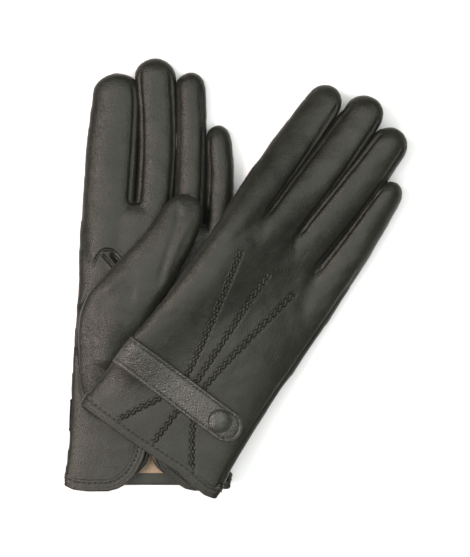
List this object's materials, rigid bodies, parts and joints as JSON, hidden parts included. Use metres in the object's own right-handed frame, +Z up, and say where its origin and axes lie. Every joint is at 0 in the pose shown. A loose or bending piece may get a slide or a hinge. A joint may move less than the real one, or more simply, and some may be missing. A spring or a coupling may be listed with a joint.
{
  "type": "pair of leather gloves",
  "caption": "Pair of lined leather dress gloves with a snap wrist strap, lying one across the other, palm up and back up.",
  "frame": {"origin": "centre of the pair's footprint on the table", "axes": "+Z up out of the table, +Y along the palm-up glove from its hem to its fingertips, +X across that glove from its index side to its little-finger side"},
  "size_m": [0.1944, 0.2472, 0.0388],
  "materials": {
    "glove_leather": "satin",
    "strap_leather": "satin",
    "knitted_lining": "matte",
    "sewing_thread": "matte",
    "snap_metal": "satin"
  },
  "bodies": {
    "left_glove": {"left_trank": "glove_leather", "left_thumb": "glove_leather", "left_fourchette_index_middle": "glove_leather", "left_fourchette_middle_ring": "glove_leather", "left_fourchette_ring_little": "glove_leather", "left_lining": "knitted_lining", "left_thumb_lining": "knitted_lining", "left_hem_facing": "glove_leather", "left_hem_thread": "sewing_thread", "left_points_ridges": "glove_leather", "left_vent_bar_tack": "sewing_thread", "left_snap_stud": "snap_metal"},
    "left_strap": {"left_strap": "strap_leather", "left_strap_backing": "strap_leather", "left_snap_socket": "snap_metal", "left_snap_cap": "strap_leather"},
    "right_glove": {"right_trank": "glove_leather", "right_thumb": "glove_leather", "right_fourchette_index_middle": "glove_leather", "right_fourchette_middle_ring": "glove_leather", "right_fourchette_ring_little": "glove_leather", "right_lining": "knitted_lining", "right_thumb_lining": "knitted_lining", "right_hem_facing": "glove_leather", "right_hem_thread": "sewing_thread", "right_points_ridges": "glove_leather", "right_vent_bar_tack": "sewing_thread", "right_snap_stud": "snap_metal"},
    "right_strap": {"right_strap": "strap_leather", "right_strap_backing": "strap_leather", "right_snap_socket": "snap_metal", "right_snap_cap": "strap_leather"}
  },
  "joints": [
    {"name": "right_glove_lift", "type": "slide", "parent": "left_glove", "child": "right_glove", "axis": [0, 0, 1], "range_m": [0, 0.12]},
    {"name": "right_strap_hinge", "type": "hinge", "parent": "right_glove", "child": "right_strap", "pos_m": [-0.06487, -0.04026, 0.03014], "axis": [-0.564, -0.7566, -0.3309], "range_deg": [0, 140]},
    {"name": "left_strap_hinge", "type": "hinge", "parent": "left_glove", "child": "left_strap", "pos_m": [-0.09505, -0.07928, 0.00797], "axis": [0.0698, 0.9975, 0.0105], "range_deg": [0, 140]}
  ]
}
